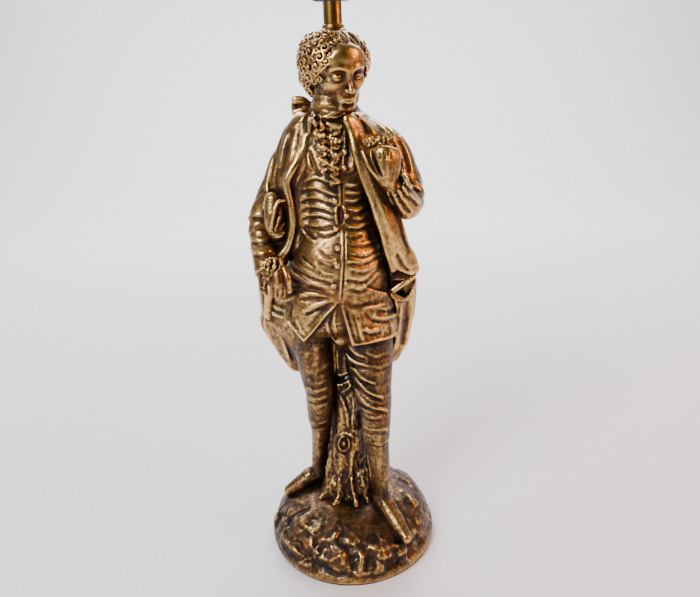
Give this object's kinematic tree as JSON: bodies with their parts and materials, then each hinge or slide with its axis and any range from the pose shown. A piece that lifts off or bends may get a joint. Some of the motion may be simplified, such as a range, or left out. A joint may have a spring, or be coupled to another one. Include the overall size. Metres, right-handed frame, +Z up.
{
  "type": "table lamp",
  "caption": "Cast figural table lamp: a coated gentleman before a tree stump on a round rock base, with neck, socket, harp and finial.",
  "frame": {"origin": "centre of the base's underside, on the table", "axes": "+Z up along the lamp pipe; the figure faces -Y; +X is the figure's left side"},
  "size_m": [0.2, 0.2, 0.8791],
  "materials": {
    "gilt_casting": "antique gold over dark brown patina, worn bright on the high places",
    "polished_brass": "polished and lacquered",
    "socket_brass": "brushed, lacquered sheet",
    "nickel_plate": "satin nickel plate",
    "zinc_steel": "zinc plated",
    "felt": "dark brown felt",
    "black_plastic": "moulded, satin",
    "fibre": "pressed fibre board",
    "phenolic": "moulded phenolic",
    "knob_plastic": "moulded, semi gloss",
    "shell_aluminium": "drawn, bright",
    "contact_brass": "stamped spring brass"
  },
  "bodies": {
    "lamp": {"rock_base": "gilt_casting", "felt_pad": "felt", "bottom_cover": "zinc_steel", "cord_bushing": "black_plastic", "lamp_pipe": "zinc_steel", "base_washer": "zinc_steel", "lock_washer": "zinc_steel", "base_nut": "zinc_steel", "tree_stump": "gilt_casting", "right_leg": "gilt_casting", "left_leg": "gilt_casting", "torso": "gilt_casting", "coat": "gilt_casting", "right_sleeve": "gilt_casting", "left_sleeve": "gilt_casting", "right_hand": "gilt_casting", "left_hand": "gilt_casting", "hat": "gilt_casting", "head": "gilt_casting", "neck_tube": "polished_brass", "neck_collar": "polished_brass", "harp_saddle": "nickel_plate", "socket_cap": "socket_brass", "cap_set_screw": "nickel_plate", "socket_shell": "socket_brass", "insulating_sleeve": "fibre", "socket_core": "phenolic", "terminal_screws": "nickel_plate", "screw_shell": "shell_aluminium", "center_contact": "contact_brass", "harp": "nickel_plate", "harp_stud": "nickel_plate"},
    "switch": {"switch_knob": "knob_plastic"},
    "left_lock": {"left_ferrule": "nickel_plate"},
    "right_lock": {"right_ferrule": "nickel_plate"},
    "finial_foot": {"finial_base": "polished_brass"},
    "finial": {"finial_knob": "polished_brass"}
  },
  "joints": [
    {"name": "switch_turn", "type": "hinge", "parent": "lamp", "child": "switch", "pos_m": [0, -0.0182, 0.6261], "axis": [0, -1, 0], "continuous": true},
    {"name": "left_ferrule_slide", "type": "slide", "parent": "lamp", "child": "left_lock", "axis": [0, 0, 1], "range_m": [0, 0.012]},
    {"name": "right_ferrule_slide", "type": "slide", "parent": "lamp", "child": "right_lock", "axis": [0, 0, 1], "range_m": [0, 0.012]},
    {"name": "finial_rise", "type": "slide", "parent": "lamp", "child": "finial_foot", "axis": [0, 0, 1], "range_m": [0, 0.00564]},
    {"name": "finial_turn", "type": "hinge", "parent": "finial_foot", "child": "finial", "pos_m": [0, 0, 0.8401], "axis": [0, 0, 1], "range_deg": [0, 2160]}
  ],
  "couplings": [
    {"joint": "finial_turn", "follows": "finial_rise", "rad_per_m": 6679}
  ]
}
